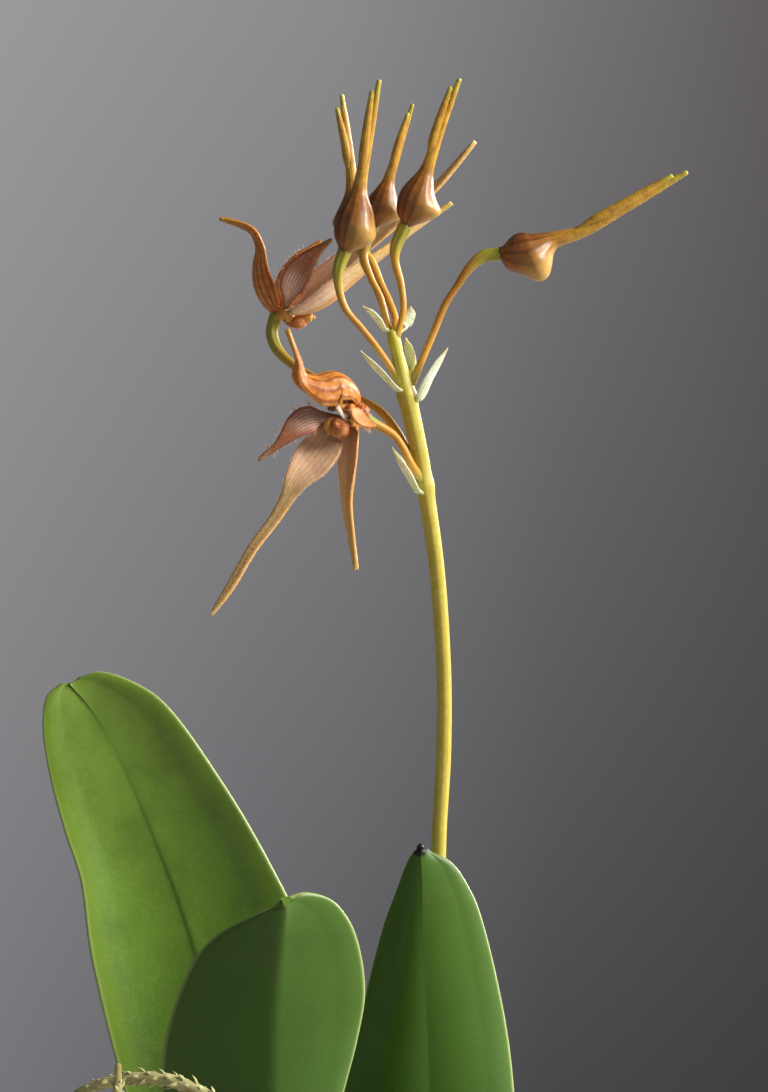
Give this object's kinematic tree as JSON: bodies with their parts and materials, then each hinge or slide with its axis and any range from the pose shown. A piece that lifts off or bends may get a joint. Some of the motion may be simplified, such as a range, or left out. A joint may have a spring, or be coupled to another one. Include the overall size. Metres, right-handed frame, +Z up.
{
  "type": "potted orchid",
  "caption": "Small potted bulbophyllum orchid: clay pot with moss, creeping rhizome, pseudobulbs with thick upright leaves, and a tall stalk with an umbel of buds and open flowers.",
  "frame": {"origin": "centre of the pot's foot, on the surface it stands on", "axes": "+Z up along the pot's axis; the flowers and the middle leaf face -Y, the long bud points to +X"},
  "size_m": [0.062, 0.062, 0.1477],
  "materials": {
    "terracotta": "fired clay, matt, with a pale bloom",
    "moss": "damp sphagnum, matt",
    "rhizome": "smooth green-brown skin",
    "strand": "pale sphagnum, matt",
    "pseudobulb": "ribbed green skin, satin",
    "leaf": "thick waxy green leaf, satin",
    "stalk": "smooth yellow-green skin, satin",
    "bract": "pale membranous scale",
    "bud": "orange-brown bud, satin",
    "sepal": "peach petal with fine papillae",
    "hood": "orange petal with darker veins",
    "petal": "red-brown petal with a hairy edge",
    "lip": "fleshy orange lip, glossy",
    "column": "fleshy yellow column"
  },
  "bodies": {
    "root": {"pot": "terracotta", "moss_bed": "moss", "rhizome": "rhizome", "moss_strand_arch": "strand", "moss_strand_upright": "strand", "pseudobulb_right": "pseudobulb", "pseudobulb_left": "pseudobulb", "pseudobulb_middle": "pseudobulb", "leaf_right": "leaf", "leaf_left": "leaf", "leaf_middle": "leaf", "flower_stalk": "stalk", "bract_1": "bract", "bract_2": "bract", "bract_3": "bract", "bract_4": "bract", "bract_5": "bract", "bract_6": "bract", "bract_7": "bract", "bud_front": "bud", "bud_middle": "bud", "bud_tall": "bud", "bud_hidden": "bud", "bud_right": "bud", "front_flower_dorsal_sepal": "hood", "front_flower_left_petal": "petal", "front_flower_right_petal": "petal", "front_flower_long_sepal": "sepal", "front_flower_hanging_sepal": "sepal", "front_flower_lip": "lip", "front_flower_column": "column", "back_flower_dorsal_sepal": "hood", "back_flower_left_petal": "petal", "back_flower_right_petal": "petal", "back_flower_long_sepal": "sepal", "back_flower_hanging_sepal": "sepal", "back_flower_lip": "lip", "back_flower_column": "column"}
  },
  "joints": []
}
